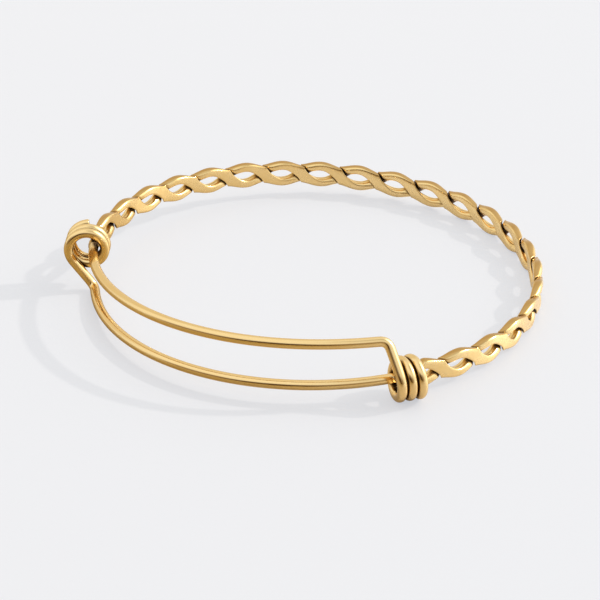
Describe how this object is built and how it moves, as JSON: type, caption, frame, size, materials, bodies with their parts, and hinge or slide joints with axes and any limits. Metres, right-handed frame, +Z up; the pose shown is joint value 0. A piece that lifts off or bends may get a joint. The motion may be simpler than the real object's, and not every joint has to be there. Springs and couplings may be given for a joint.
{
  "type": "adjustable wire bangle",
  "caption": "Adjustable wire bangle: a flat twisted band round the back, plain round rails across the front and a sliding coil at each side.",
  "frame": {"origin": "on the surface that the bangle lies on, under the middle of its box", "axes": "+Z up from the surface, -Y towards the two rails, which are the front, +X towards the wearer's side with the right coil"},
  "size_m": [0.0654, 0.065, 0.0098],
  "materials": {
    "band_gold": "yellow gold colour, rolled flat with a fine satin face and polished rounded edges",
    "wire_gold": "yellow gold colour, bright polished drawn wire"
  },
  "bodies": {
    "root": {"band_wire": "band_gold", "twin_wire": "band_gold", "lower_rail": "wire_gold", "upper_rail": "wire_gold", "right_coil": "wire_gold", "left_coil": "wire_gold"}
  },
  "joints": []
}
